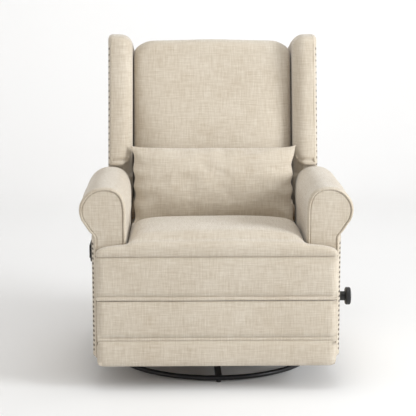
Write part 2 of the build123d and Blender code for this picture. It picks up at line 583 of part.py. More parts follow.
def nails():
    body = []
    count = round((BODY_NAILS_TOP - BODY_NAILS_LOW) / BODY_NAIL_PITCH)
    for i in range(count + 1):
        height = BODY_NAILS_LOW + i * BODY_NAIL_PITCH
        body.append(Pos(0, PANEL_FRONT_Y, 0) * nail(BODY_HALF, SPLAY_OUT, SPLAY_BACK, height))
    save("body_nails", *body, *[other_side(n) for n in body])

    wing = []
    for i in range(WING_NAILS):
        wing.append(WING_FRONT * nail(WING_OUT, WING_SPLAY_OUT, WING_SPLAY_BACK, 10 + i * WING_NAIL_PITCH))
    save("wing_nails", *wing, *[other_side(n) for n in wing])


# ---- pillow -------------------------------------------------------------
def pillow():
    cushion = soft_block(-PILLOW_HALF_W, PILLOW_HALF_W, -PILLOW_HALF_D, PILLOW_HALF_D,
                         -PILLOW_HALF_H, PILLOW_HALF_H, PILLOW_ROUND)
    save("lumbar_pillow", Pos(0, PILLOW_Y, PILLOW_Z) * Rot(-PILLOW_LEAN, 0, 0) * cushion)


def main():
    os.makedirs("parts", exist_ok=True)
    base()
    swivel_frame()
    glide_links()
    carrier()
    mechanism_plates()
    body_frame()
    seat()
    arms()
    side_panels()
    handle()
    knob()
    legrest_links()
    footrest()
    backrest()
    wings()
    nails()
    pillow()


main()
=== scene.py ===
import json
import math

import bmesh
import bpy
import numpy as np
from mathutils import Matrix, Vector, noise


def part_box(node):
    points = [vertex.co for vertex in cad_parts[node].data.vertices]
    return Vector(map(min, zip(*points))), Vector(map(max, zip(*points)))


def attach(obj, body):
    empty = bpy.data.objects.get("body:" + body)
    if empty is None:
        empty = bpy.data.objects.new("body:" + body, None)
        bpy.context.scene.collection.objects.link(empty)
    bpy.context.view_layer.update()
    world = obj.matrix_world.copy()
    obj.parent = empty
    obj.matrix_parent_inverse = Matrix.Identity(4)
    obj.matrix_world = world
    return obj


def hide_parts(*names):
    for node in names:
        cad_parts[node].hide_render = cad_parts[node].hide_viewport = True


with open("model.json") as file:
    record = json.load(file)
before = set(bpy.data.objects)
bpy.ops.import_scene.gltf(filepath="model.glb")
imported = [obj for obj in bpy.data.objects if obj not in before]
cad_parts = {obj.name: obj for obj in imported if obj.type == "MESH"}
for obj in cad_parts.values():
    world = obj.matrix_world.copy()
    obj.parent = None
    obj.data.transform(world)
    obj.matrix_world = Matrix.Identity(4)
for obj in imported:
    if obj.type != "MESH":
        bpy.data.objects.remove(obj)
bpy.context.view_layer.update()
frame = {"nodes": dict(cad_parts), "record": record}
scene = bpy.context.scene

# ---- places read from the frame, in metres ------------------------------
SEAT_LOW, SEAT_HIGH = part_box("seat_cushion")
BORDER_LOW, BORDER_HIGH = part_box("front_border")
REST_LOW, REST_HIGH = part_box("footrest_pad")
ARM_LOW, ARM_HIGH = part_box("arm_pad_right")
PANEL_LOW, PANEL_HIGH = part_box("side_panel_right")
REAR_LOW, REAR_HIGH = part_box("rear_panel")
WING_LOW, WING_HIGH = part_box("wing_right")
BEZEL_LOW, BEZEL_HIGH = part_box("release_bezel")

FRONT_Y = SEAT_LOW[1]
NOSE_HALF = SEAT_HIGH[0]
BODY_HALF = PANEL_HIGH[0]
ARM_INNER = ARM_LOW[0]
SEAT_HALF = ARM_INNER - 0.003
SEAM_SEAT_Z = BORDER_HIGH[2]

# the backrest leans; its frame starts on the cushion's face at the seat
LEAN = math.radians(13.0)
BACK_Y, BACK_Z = 0.070, 0.470
CUSHION_HALF = 0.2708
CUSHION_TOP_H = 0.602
WING_IN, WING_OUT = WING_LOW[0], WING_HIGH[0]

# the sides widen behind their front edges, by OUT over the depth BACK
SPLAY_BACK, SPLAY_OUT = 0.020, 0.0125
WING_SPLAY_BACK, WING_SPLAY_OUT = 0.022, 0.012
WING_DEPTH = 0.2562
WING_FOOT_Y, WING_FOOT_Z = 0.045, 0.632     # lower end of the wings' front edge
WELT_R = 0.0030

PILLOW_W, PILLOW_H, PILLOW_DEPTH = 0.562, 0.270, 0.112
PUCKER = 0.0060                             # height of the gathers at the end seams
PILLOW_AT = (0.010, 0.576)                  # (y, z) of its middle
PILLOW_LEAN = math.radians(20.0)
PILLOW_PRESSURE, PILLOW_STIFFNESS = 2.0, 20.0
PILLOW_FRAMES, PILLOW_CAP = 10, 0.005
PILLOW_GRID = (150, 74)
GRID_BEND = math.pi * 0.9                   # how far the pillow's grid crowds towards its edges

LINEN_DARK, LINEN_LIGHT = (0.43, 0.352, 0.258), (0.69, 0.635, 0.548)
WEAVE_WAVES = 5200.0                        # radians per metre: a thread every 1.2 mm
PAPER_DARK, PAPER_LIGHT = (0.81, 0.81, 0.815), (0.83, 0.83, 0.835)

# camera: place in metres, tilt below level and turn to the right in degrees, lens in mm
CAMERA_AT = (-0.109, -4.593, 1.267)
CAMERA_TILT, CAMERA_TURN, CAMERA_LENS = 9.517, 1.131, 120.3

# studio: the sweep's floor, bend and wall, then the lights
SWEEP_FRONT_Y, SWEEP_BEND_Y, SWEEP_BEND_R, SWEEP_TOP_Z, SWEEP_HALF = -9.0, 3.0, 1.5, 9.0, 12
WORLD_COLOUR, WORLD_STRENGTH = (1.0, 0.975, 0.935, 1), 0.58
LIGHTS = [      # name, place, target, size, power, colour
    ("key", (4.3, -2.2, 1.9), (0, 0, 0.5), (2.0, 2.0), 222, (0.96, 0.985, 1.0)),
    ("fill", (-3.6, -2.2, 1.6), (0, 0, 0.1), (2.4, 2.4), 26, (1.0, 0.96, 0.90)),
    ("overhead", (0.2, -0.6, 3.8), (0, 0, 0.4), (2.2, 2.2), 36, (0.96, 0.985, 1.0)),
    ("backdrop", (0.0, 2.0, 3.4), (0, 5.0, 1.4), (3.0, 1.0), 36, (1.0, 1.0, 1.0)),
]


def on_back(x, d, h):
    """A point of the backrest: x across, d back from the cushion's face, h up along it."""
    y = BACK_Y + d * math.cos(LEAN) + h * math.sin(LEAN)
    z = BACK_Z - d * math.sin(LEAN) + h * math.cos(LEAN)
    return Vector((x, y, z))


def off_back(p):
    """The (x, d, h) of a point in the row's frame."""
    y, z = p[1] - BACK_Y, p[2] - BACK_Z
    d = y * math.cos(LEAN) - z * math.sin(LEAN)
    h = y * math.sin(LEAN) + z * math.cos(LEAN)
    return p[0], d, h


def level(u, v, w):
    """An outline in (x, y), extruded up."""
    return Vector((u, v, w))


def sideways(u, v, w):
    """An outline in (y, z), extruded to the side."""
    return Vector((w, u, v))


def forward(u, v, w):
    """An outline in (x, z), extruded towards the sitter's feet."""
    return Vector((u, -w, v))


def rearward(u, v, w):
    """An outline in (x, z), extruded to the rear."""
    return Vector((u, w, v))


def back_forward(u, v, w):
    """An outline on the backrest, extruded out of its face."""
    return on_back(u, -w, v)


def back_rearward(u, v, w):
    """An outline on the backrest, extruded behind its face."""
    return on_back(u, w, v)


# ---- materials ----------------------------------------------------------
class Nodes:
    """A short way to write node trees."""

    def __init__(self, name):
        self.material = bpy.data.materials.new(name)
        self.material.use_nodes = True
        self.tree = self.material.node_tree
        self.shader = self.tree.nodes["Principled BSDF"]

    def add(self, kind, **values):
        node = self.tree.nodes.new(kind)
        for key, value in values.items():
            setattr(node, key, value)
        return node

    def link(self, source, target):
        self.tree.links.new(source, target)

    def math(self, operation, a, b=0.0):
        node = self.add("ShaderNodeMath", operation=operation)
        for socket, value in zip(node.inputs, (a, b)):
            if isinstance(value, (int, float)):
                socket.default_value = value
            else:
                self.link(value, socket)
        return node.outputs[0]

    def noise(self, vector, scale, detail=2.0, rough=0.5):
        node = self.add("ShaderNodeTexNoise")
        node.inputs["Scale"].default_value = scale
        node.inputs["Detail"].default_value = detail
        node.inputs["Roughness"].default_value = rough
        self.link(vector, node.inputs["Vector"])
        return node.outputs[0]

    def stretched(self, vector, scale):
        node = self.add("ShaderNodeMapping")
        node.inputs["Scale"].default_value = scale
        self.link(vector, node.inputs["Vector"])
        return node.outputs[0]

    def ramp(self, value, low, high, low_colour, high_colour):
        node = self.add("ShaderNodeValToRGB")
        node.color_ramp.elements[0].position = low
        node.color_ramp.elements[0].color = (*low_colour, 1)
        node.color_ramp.elements[1].position = high
        node.color_ramp.elements[1].color = (*high_colour, 1)
        self.link(value, node.inputs[0])
        return node.outputs[0]

    def bump(self, height, distance, strength):
        node = self.add("ShaderNodeBump")
        node.inputs["Strength"].default_value = strength
        node.inputs["Distance"].default_value = distance
        self.link(height, node.inputs["Height"])
        self.link(node.outputs[0], self.shader.inputs["Normal"])


def flat_plane(n, position, a, b):
    """The two object axes a and b as a flat vector."""
    split = n.add("ShaderNodeSeparateXYZ")
    n.link(position, split.inputs[0])
    join = n.add("ShaderNodeCombineXYZ")
    n.link(split.outputs[a], join.inputs[0])
    n.link(split.outputs[b], join.inputs[1])
    return join.outputs[0]


def linen(name, shade_factor=(1.0, 1.0, 1.0)):
    """Slubby plain-weave linen. Each face takes the weave from the axis plane it lies nearest to."""
    n = Nodes(name)
    coords = n.add("ShaderNodeTexCoord")
    position = coords.outputs["Object"]
    facing = n.add("ShaderNodeSeparateXYZ")
    n.link(coords.outputs["Normal"], facing.inputs[0])
    total_tone, total_height, total_weight = None, None, None
    for axis, (a, b) in enumerate(((1, 2), (0, 2), (0, 1))):
        plane = flat_plane(n, position, a, b)
        warp = n.noise(n.stretched(plane, (640, 34, 1)), 1.0, 3.0, 0.6)
        weft = n.noise(n.stretched(plane, (34, 640, 1)), 1.0, 3.0, 0.6)
        slub = n.noise(n.stretched(plane, (240, 20, 1)), 1.0, 1.0)
        slub2 = n.noise(n.stretched(plane, (18, 260, 1)), 1.0, 1.0)
        split = n.add("ShaderNodeSeparateXYZ")
        n.link(plane, split.inputs[0])
        wave_a = n.math("SINE", n.math("MULTIPLY", split.outputs[0], WEAVE_WAVES))
        wave_b = n.math("SINE", n.math("MULTIPLY", split.outputs[1], WEAVE_WAVES))
        weave = n.math("MULTIPLY", wave_a, wave_b)
        tone = n.math("ADD", n.math("ADD", warp, weft), n.math("ADD", slub, slub2))
        height = n.math("ADD", n.math("MULTIPLY", weave, 0.35), n.math("MULTIPLY", tone, 0.8))
        weight = n.math("POWER", n.math("ABSOLUTE", facing.outputs[axis]), 6.0)
        tone_part = n.math("MULTIPLY", tone, weight)
        height_part = n.math("MULTIPLY", height, weight)
        if total_tone is None:
            total_tone, total_height, total_weight = tone_part, height_part, weight
        else:
            total_tone = n.math("ADD", total_tone, tone_part)
            total_height = n.math("ADD", total_height, height_part)
            total_weight = n.math("ADD", total_weight, weight)
    tone = n.math("DIVIDE", n.math("DIVIDE", total_tone, total_weight), 4.0)
    height = n.math("DIVIDE", total_height, total_weight)
    cloudy = n.noise(position, 7.0, 3.0)
    mixed = n.math("ADD", n.math("MULTIPLY", tone, 0.85), n.math("MULTIPLY", cloudy, 0.15))
    # shade_factor darkens the colour of a whole piece: painted shade, not a different dye
    dark = tuple(c * t for c, t in zip(LINEN_DARK, shade_factor))
    light = tuple(c * t for c, t in zip(LINEN_LIGHT, shade_factor))
    colour = n.ramp(mixed, 0.33, 0.67, dark, light)
    n.link(colour, n.shader.inputs["Base Color"])
    n.shader.inputs["Roughness"].default_value = 0.92
    n.shader.inputs["Specular IOR Level"].default_value = 0.15
    n.shader.inputs["Sheen Weight"].default_value = 0.45
    n.shader.inputs["Sheen Roughness"].default_value = 0.5
    n.bump(height, 0.0006, 0.55)
    return n.material


def metal(name, colour, rough, speckle=0.1, metallic=1.0):
    """Bare or lacquered metal with fine wear in its roughness."""
    n = Nodes(name)
    coords = n.add("ShaderNodeTexCoord")
    fine = n.noise(coords.outputs["Object"], 260.0, 4.0)
    worn = n.ramp(fine, 0.3, 0.7, tuple(c * (1 - speckle) for c in colour), colour)
    n.link(worn, n.shader.inputs["Base Color"])
    n.shader.inputs["Metallic"].default_value = metallic
    spread = n.math("ADD", n.math("MULTIPLY", fine, 0.2), rough - 0.1)
    n.link(spread, n.shader.inputs["Roughness"])
    n.bump(fine, 0.0002, 0.3)
    return n.material


def plastic(name, colour, rough):
    """Moulded plastic with a fine spark-eroded grain."""
    n = Nodes(name)
    coords = n.add("ShaderNodeTexCoord")
    grain = n.noise(coords.outputs["Object"], 1400.0, 2.0)
    tone = n.ramp(grain, 0.3, 0.7, tuple(c * 0.8 for c in colour), tuple(c * 1.2 for c in colour))
    n.link(tone, n.shader.inputs["Base Color"])
    n.shader.inputs["Roughness"].default_value = rough
    n.bump(grain, 0.0001, 0.4)
    return n.material


def timber(name):
    """Sawn softwood and ply with long grain."""
    n = Nodes(name)
    coords = n.add("ShaderNodeTexCoord")
    grain = n.noise(n.stretched(coords.outputs["Object"], (60, 6, 60)), 1.0, 5.0, 0.6)
    tone = n.ramp(grain, 0.3, 0.7, (0.42, 0.27, 0.14), (0.66, 0.48, 0.29))
    n.link(tone, n.shader.inputs["Base Color"])
    n.shader.inputs["Roughness"].default_value = 0.7
    n.bump(grain, 0.0004, 0.4)
    return n.material


def strap_cloth(name):
    """Woven elastic webbing with ribs."""
    n = Nodes(name)
    coords = n.add("ShaderNodeTexCoord")
    ribs = n.noise(n.stretched(coords.outputs["Object"], (900, 300, 300)), 1.0, 2.0)
    tone = n.ramp(ribs, 0.35, 0.65, (0.07, 0.06, 0.05), (0.22, 0.19, 0.15))
    n.link(tone, n.shader.inputs["Base Color"])
    n.shader.inputs["Roughness"].default_value = 0.9
    n.bump(ribs, 0.0005, 0.5)
    return n.material


LINEN = linen("linen")
# the welt cord's linen is a little darker and warmer than the rest: painted shade along the piping
WELT = linen("linen_welt_shaded", (0.93, 0.92, 0.90))
BLACK_STEEL = metal("black_steel", (0.018, 0.018, 0.020), 0.38, 0.3, 0.4)
ZINC = metal("zinc_steel", (0.60, 0.60, 0.62), 0.35)
NAIL = metal("antique_nail", (0.20, 0.175, 0.145), 0.34, 0.5)
BLACK_PLASTIC = plastic("black_plastic", (0.012, 0.012, 0.013), 0.42)
TIMBER = timber("softwood")
STRAP = strap_cloth("webbing")

BY_SLOT = {"black_metal": BLACK_STEEL, "zinc_steel": ZINC, "black_plastic": BLACK_PLASTIC,
           "timber": TIMBER, "webbing": STRAP, "nail_metal": NAIL, "linen_fabric": LINEN}


def dress_cad_nodes():
    """Each CAD node takes the material of its slot."""
    for entry in frame["record"]["subparts"]:
        mesh = frame["nodes"][entry["node"]].data
        mesh.materials.clear()
        mesh.materials.append(BY_SLOT[entry["material_slot"]])


# ---- mesh helpers -------------------------------------------------------
def piece(name, points, faces, material=None):
    """A smooth-shaded object, in linen unless told otherwise."""
    mesh = bpy.data.meshes.new(name)
    mesh.from_pydata([tuple(p) for p in points], [], faces)
    mesh.update()
    obj = bpy.data.objects.new(name, mesh)
    scene.collection.objects.link(obj)
    fix_normals(obj)
    obj.data.materials.append(material or LINEN)
    obj.data.polygons.foreach_set("use_smooth", [True] * len(obj.data.polygons))
    return obj


def fix_normals(obj):
    bm = bmesh.new()
    bm.from_mesh(obj.data)
    bmesh.ops.recalc_face_normals(bm, faces=bm.faces)
    bm.to_mesh(obj.data)
    bm.free()


def bake_modifiers(obj):
    """Applies the modifiers of an object to its mesh."""
    bpy.context.view_layer.update()
    depsgraph = bpy.context.evaluated_depsgraph_get()
    mesh = bpy.data.meshes.new_from_object(obj.evaluated_get(depsgraph))
    obj.modifiers.clear()
    obj.data = mesh
    obj.data.polygons.foreach_set("use_smooth", [True] * len(obj.data.polygons))


def modify(obj, kind, **values):
    modifier = obj.modifiers.new(kind.lower(), kind)
    for key, value in values.items():
        setattr(modifier, key, value)
    return modifier


def remesh(obj, size, smoothing):
    modify(obj, "REMESH", mode="VOXEL", voxel_size=size)
    modify(obj, "SMOOTH", factor=0.5, iterations=smoothing)
    bake_modifiers(obj)


def vertices(obj):
    co = np.empty(len(obj.data.vertices) * 3)
    obj.data.vertices.foreach_get("co", co)
    return co.reshape(-1, 3)


def set_vertices(obj, co):
    obj.data.vertices.foreach_set("co", np.ascontiguousarray(co).ravel())
    obj.data.update()


def move_points(obj, rule):
    """Moves each point by rule(point, normal), which gives a shift or None."""
    obj.data.update()
    shifts = []
    for v in obj.data.vertices:
        shift = rule(v.co, v.normal)
        shifts.append((0, 0, 0) if shift is None else tuple(shift))
    set_vertices(obj, vertices(obj) + np.array(shifts))


def merged(name, parts):
    """Several objects made into one."""
    bm = bmesh.new()
    for part in parts:
        bm.from_mesh(part.data)
    obj = parts[0]
    bm.to_mesh(obj.data)
    bm.free()
    obj.name = name
    for part in parts[1:]:
        bpy.data.objects.remove(part)
    return obj


def round_outline(corners, steps=7):
    """A closed 2-D outline from (a, b, radius) corners, with each corner an arc."""
    out = []
    count = len(corners)
    for i, (a, b, radius) in enumerate(corners):
        here = Vector((a, b))
        before = Vector(corners[i - 1][:2]) - here
        after = Vector(corners[(i + 1) % count][:2]) - here
        half = before.angle(after) / 2
        if radius <= 0 or half > 1.55:
            out.append(here)
            continue
        reach = min(radius / math.tan(half), 0.49 * before.length, 0.49 * after.length)
        start = here + before.normalized() * reach
        end = here + after.normalized() * reach
        for k in range(steps + 1):
            t = k / steps
            out.append(start * (1 - t) ** 2 + here * 2 * t * (1 - t) + end * t * t)
    return out


def spaced(points, step):
    """The closed outline with its long runs split."""
    out = []
    for i, p in enumerate(points):
        q = points[(i + 1) % len(points)]
        count = max(1, round((q - p).length / step))
        for k in range(count):
            out.append(p.lerp(q, k / count))
    return out


def inward(points):
    """Unit vectors that point into the outline, one at each point."""
    area = sum(p.x * q.y - q.x * p.y for p, q in zip(points, points[1:] + points[:1]))
    sign = 1 if area > 0 else -1
    out = []
    count = len(points)
    for i in range(count):
        along = points[(i + 1) % count] - points[i - 1]
        out.append(Vector((-along.y, along.x)).normalized() * sign)
    return out


RIM_LOOPS = 8      # rows of points in a rounded rim


def pad(name, outline, low, high, place, low_round, high_round, step=0.012, bend=1.0):
    """A closed form from an outline, extruded from low to high, with rounded rims.

    A rounding is (inset, depth), or a function of the outline's point that gives one.
    The high rim is a quarter round at bend 1 and a flat bevel at bend 2.
    """
    points = spaced([Vector(p) for p in outline], step)
    normals = inward(points)
    rims = []
    for amount in (low_round, high_round):
        rims.append([amount(p) if callable(amount) else amount for p in points])
    loops = []
    for k in range(RIM_LOOPS):
        angle = k / (RIM_LOOPS - 1) * math.pi / 2
        loops.append([place(*(p + n * r[0] * (1 - math.sin(angle))), low + r[1] * (1 - math.cos(angle)))
                      for p, n, r in zip(points, normals, rims[0])])
    for k in range(RIM_LOOPS):
        angle = k / (RIM_LOOPS - 1) * math.pi / 2
        near, up = math.cos(angle) ** bend, math.sin(angle) ** bend
        loops.append([place(*(p + n * r[0] * (1 - near)), high - r[1] * (1 - up))
                      for p, n, r in zip(points, normals, rims[1])])
    count = len(points)
    verts = [p for loop in loops for p in loop]
    faces = []
    for row in range(len(loops) - 1):
        for i in range(count):
            j = (i + 1) % count
            faces.append((row * count + i, row * count + j, (row + 1) * count + j, (row + 1) * count + i))
    faces.append(tuple(range(count - 1, -1, -1)))
    faces.append(tuple((len(loops) - 1) * count + i for i in range(count)))
    return piece(name, verts, faces)


def panel(name, x0, x1, z0, z1, front, back, edge, corner, belly=None, step=0.009):
    """An upholstered panel that faces the sitter's feet: rounded edges, a closed back.

    edge is the rounding of the front's rim, corner the radius of its outline, and belly
    gives how far the fabric stands out at (x, z).
    """
    nx, nz = max(6, round((x1 - x0) / step)), max(4, round((z1 - z0) / step))

    def spread(a, b, count):
        out = [a + (b - a) * (1 - math.cos(math.pi * (i / count))) / 2 for i in range(count + 1)]
        even = [a + (b - a) * i / count for i in range(count + 1)]
        reach = edge * 2.5
        return [min(o, e) if e < (a + b) / 2 and e - a < reach else max(o, e) if b - e < reach else e
                for o, e in zip(out, even)]

    xs, zs = spread(x0, x1, nx), spread(z0, z1, nz)
    verts = []
    for z in zs:
        for x in xs:
            px = max(x0 + corner, min(x1 - corner, x))
            pz = max(z0 + corner, min(z1 - corner, z))
            away = Vector((x - px, z - pz))
            if away.length > corner:
                away = away.normalized() * corner
            x2, z2 = px + away.x, pz + away.y
            inside = corner - away.length if away.length > 0 else min(x - x0, x1 - x, z - z0, z1 - z)
            inside = max(0.0, min(edge, inside))
            sink = edge * (1 - math.sqrt(max(0.0, 1 - (1 - inside / edge) ** 2)))
            out = belly(x2, z2) * inside / edge if belly else 0.0
            verts.append(Vector((x2, front + sink - out, z2)))
    faces = []
    for j in range(nz):
        for i in range(nx):
            a = j * (nx + 1) + i
            faces.append((a, a + 1, a + nx + 2, a + nx + 1))
    ring = list(range(nx + 1)) + [j * (nx + 1) + nx for j in range(1, nz + 1)]
    ring += [nz * (nx + 1) + i for i in range(nx - 1, -1, -1)] + [j * (nx + 1) for j in range(nz - 1, 0, -1)]
    base = len(verts)
    for k in ring:
        verts.append(Vector((verts[k].x, back, verts[k].z)))
    for k in range(len(ring)):
        m = (k + 1) % len(ring)
        faces.append((ring[k], base + k, base + m, ring[m]))
    faces.append(tuple(base + k for k in range(len(ring))))
    return piece(name, verts, faces)


def tube(name, path, radius, material, sides=8):
    """A round cord along a list of points, closed at both ends."""
    path = [Vector(p) for p in path]
    verts, faces = [], []
    count = len(path)
    side = None
    for i, p in enumerate(path):
        ahead, behind = path[min(i + 1, count - 1)], path[max(i - 1, 0)]
        along = (ahead - behind).normalized()
        if side is None:
            side = along.orthogonal().normalized()
        side = (side - along * side.dot(along)).normalized()
        up = along.cross(side)
        for k in range(sides):
            angle = 2 * math.pi * k / sides
            verts.append(p + (side * math.cos(angle) + up * math.sin(angle)) * radius)
    for i in range(count - 1):
        for k in range(sides):
            a, b = i * sides + k, i * sides + (k + 1) % sides
            faces.append((a, b, b + sides, a + sides))
    faces.append(tuple(range(sides)))
    faces.append(tuple((count - 1) * sides + k for k in range(sides)))
    return piece(name, verts, faces, material)


def smooth_path(points, steps):
    """A Catmull-Rom curve through the points."""
    pts = [Vector(p) for p in points]
    out = []
    for i in range(len(pts) - 1):
        p0, p1, p2, p3 = pts[max(i - 1, 0)], pts[i], pts[i + 1], pts[min(i + 2, len(pts) - 1)]
        for k in range(steps):
            t = k / steps
            out.append(0.5 * (2 * p1 + (p2 - p0) * t + (2 * p0 - 5 * p1 + 4 * p2 - p3) * t * t
                              + (3 * p1 - p0 - 3 * p2 + p3) * t ** 3))
    out.append(pts[-1])
    return out


def mirrored(obj, name):
    """A copy of a piece on the other side of the chair."""
    copy = bpy.data.objects.new(name, obj.data.copy())
    scene.collection.objects.link(copy)
    co = vertices(copy)
    co[:, 0] *= -1
    set_vertices(copy, co)
    copy.data.flip_normals()
    return copy


def finish_soft(obj, body, nodes):
    """A padded piece rides on its body and takes the place of its CAD solids."""
    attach(obj, body)
    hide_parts(*nodes)


def trim(obj, body):
    """A welt cord rides on its body and replaces nothing."""
    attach(obj, body)


def inflate(obj, pressure, cap, frames, stiffness):
    """Swells a soft piece by cloth simulation; no point moves further than cap."""
    start = vertices(obj).copy()
    cloth = modify(obj, "CLOTH")
    settings = cloth.settings
    settings.quality = 5
    settings.mass = 0.3
    settings.tension_stiffness = stiffness
    settings.compression_stiffness = stiffness
    settings.shear_stiffness = 5.0
    settings.bending_stiffness = 0.5
    settings.use_pressure = True
    settings.uniform_pressure_force = pressure
    settings.effector_weights.gravity = 0.0
    cloth.point_cache.frame_start = 1
    cloth.point_cache.frame_end = frames + 1
    for f in range(1, frames + 1):
        scene.frame_set(f)
    bake_modifiers(obj)
    scene.frame_set(1)
    shift = vertices(obj) - start
    length = np.linalg.norm(shift, axis=1)[:, None]
    shift *= np.minimum(1.0, cap / np.maximum(length, 1e-9))
    set_vertices(obj, start + shift)


def ease(t):
    """A smooth step from 0 to 1."""
    t = max(0.0, min(1.0, t))
    return t * t * (3 - 2 * t)


def wobble(p, scale, amount, seed=0.0):
    """A gentle unevenness of hand-pulled fabric."""
    return noise.noise(Vector((p[0] * scale + seed, p[1] * scale, p[2] * scale))) * amount


# ---- camera, light and floor --------------------------------------------
def make_camera():
    data = bpy.data.cameras.new("camera")
    data.lens = CAMERA_LENS
    data.sensor_width = 36.0
    data.clip_end = 60.0
    camera = bpy.data.objects.new("camera", data)
    camera.location = CAMERA_AT
    camera.rotation_euler = (math.radians(90 - CAMERA_TILT), 0.0, math.radians(-CAMERA_TURN))
    scene.collection.objects.link(camera)
    scene.camera = camera


def area_light(name, place, target, size, power, colour):
    data = bpy.data.lights.new(name, "AREA")
    data.shape = "RECTANGLE"
    data.size, data.size_y = size
    data.energy = power
    data.color = colour
    light = bpy.data.objects.new(name, data)
    light.location = place
    light.rotation_euler = (Vector(target) - Vector(place)).to_track_quat("-Z", "Y").to_euler()
    scene.collection.objects.link(light)


def make_studio():
    """A pale seamless sweep, a large key light on the right, a weak fill, and lights above and behind."""
    rows = [(SWEEP_FRONT_Y, 0.0)]
    bend_steps = 24
    for k in range(bend_steps + 1):
        angle = k / bend_steps * math.pi / 2
        along, up = SWEEP_BEND_R * math.sin(angle), SWEEP_BEND_R * math.cos(angle)
        rows.append((SWEEP_BEND_Y + along, SWEEP_BEND_R - up))
    rows.append((SWEEP_BEND_Y + SWEEP_BEND_R, SWEEP_TOP_Z))
    verts, faces = [], []
    for y, z in rows:
        verts += [(-SWEEP_HALF, y, z), (SWEEP_HALF, y, z)]
    for i in range(len(rows) - 1):
        faces.append((2 * i, 2 * i + 1, 2 * i + 3, 2 * i + 2))
    n = Nodes("paper")
    coords = n.add("ShaderNodeTexCoord")
    soft = n.noise(coords.outputs["Object"], 0.6, 2.0)
    tone = n.ramp(soft, 0.3, 0.7, PAPER_DARK, PAPER_LIGHT)
    n.link(tone, n.shader.inputs["Base Color"])
    n.shader.inputs["Roughness"].default_value = 0.9
    sweep = piece("studio_sweep", verts, faces, n.material)
    world = bpy.data.worlds.new("studio")
    scene.world = world
    world.use_nodes = True
    background = world.node_tree.nodes["Background"]
    background.inputs[0].default_value = WORLD_COLOUR
    background.inputs[1].default_value = WORLD_STRENGTH
    for values in LIGHTS:
        area_light(*values)
    scene.view_settings.view_transform = "Standard"


# ---- seat ---------------------------------------------------------------
def seat_height(x, y):
    """Height of the crowned seat top: highest ahead of the middle, diving under the lumbar pillow."""
    crest_y, crest_z = -0.21, 0.504
    across = min(1.0, abs(x) / SEAT_HALF)
    ridge = crest_z - 0.012 * max(0.0, (crest_y - y) / 0.22) ** 2
    if y > crest_y:
        ridge = crest_z - 0.050 * ease((y - crest_y) / 0.24)
    return ridge - 0.013 * across ** 3 - 0.018 * across ** 10


def ear_height(x):
    """Height of the seat's front corners, which fall away to the outside."""
    out = max(0.0, (abs(x) - ARM_INNER) / (NOSE_HALF - ARM_INNER))
    return 0.4635 - 0.010 * out - 0.012 * out ** 5


def make_seat():
    foot_z = SEAM_SEAT_Z + 0.001
    ears = [(-NOSE_HALF, FRONT_Y, 0.012), (NOSE_HALF, FRONT_Y, 0.012),
            (NOSE_HALF, -0.4142, 0.003), (-NOSE_HALF, -0.4142, 0.003)]
    nose = pad("nose", round_outline(ears), foot_z, 0.450, level, (0.004, 0.004), (0.010, 0.010))
    main = [(-SEAT_HALF, FRONT_Y, 0.01), (SEAT_HALF, FRONT_Y, 0.01),
            (SEAT_HALF, SEAT_HIGH[1], 0.03), (-SEAT_HALF, SEAT_HIGH[1], 0.03)]
    body = pad("body", round_outline(main), foot_z, 0.455, level, (0.004, 0.004), (0.012, 0.012))
    seat = merged("seat_cushion_soft", [nose, body])
    remesh(seat, 0.0055, 4)

    def crown(p, normal):
        rise = max(0.0, (p.z - (SEAM_SEAT_Z + 0.004)) / 0.032)
        inner = ease((SEAT_HALF + 0.004 - abs(p.x)) / 0.030)
        behind = ease((p.y - (FRONT_Y + 0.004)) / 0.060)
        lip = ear_height(p.x)
        target = lip + (seat_height(p.x, p.y) - lip) * max(inner * behind, inner * 0.25)
        lift = (target - 0.4545) * min(1.0, rise) + wobble(p, 9, 0.0016, 3.0) * rise
        out = 0.003 * math.sin(math.pi * min(1.0, rise)) if normal.y < -0.5 else 0.0
        return Vector((0, -out, lift))

    move_points(seat, crown)
    modify(seat, "SMOOTH", factor=0.5, iterations=10)
    bake_modifiers(seat)
    finish_soft(seat, "chair_body", ["seat_cushion"])


def drape(x, z, amount, seed, fine_scale, fine_seed):
    """The unevenness of a stretched front: a broad one and a fine one."""
    return wobble((x, 0, z), 9, amount, seed) + wobble((x, 0, z), fine_scale, 0.0008, fine_seed)


def make_front_border():
    low, high = BORDER_LOW[2], BORDER_HIGH[2]
    strip = low + 0.0105

    def belly(x, z):
        t = max(0.0, min(1.0, (z - strip) / (high - strip)))
        return 0.004 * math.sin(math.pi * t) + drape(x, z, 0.0022, 4, 22, 8)

    def roll_belly(x, z):
        return wobble((x, 0, 0), 12, 0.0012, 2)

    def wave(p, normal):
        return Vector((0, 0, wobble((p.x, 0, 0), 5, 0.0010, 5) if p.z < high - 0.02 else 0))

    back, half, seam_half = BORDER_HIGH[1], NOSE_HALF, NOSE_HALF - 0.004
    upper = panel("border_upper", -half, half, strip, high + 0.001, FRONT_Y + 0.002,
                  back, 0.006, 0.004, belly)
    roll = panel("border_roll", -half + 0.001, half - 0.001, low - 0.0020, strip - 0.0004, FRONT_Y + 0.0005,
                 back, 0.0045, 0.0045, roll_belly, 0.0035)
    seam = panel("border_seam", -seam_half, seam_half, high - 0.008, high + 0.006, FRONT_Y + 0.0085,
                 back - 0.02, 0.002, 0.002)
    tuck = panel("border_tuck", -seam_half, seam_half, strip - 0.004, strip + 0.004, FRONT_Y + 0.0055,
                 back - 0.02, 0.002, 0.002)
    border = merged("front_border_soft", [upper, roll, seam, tuck])
    move_points(border, wave)
    finish_soft(border, "chair_body", ["front_border"])


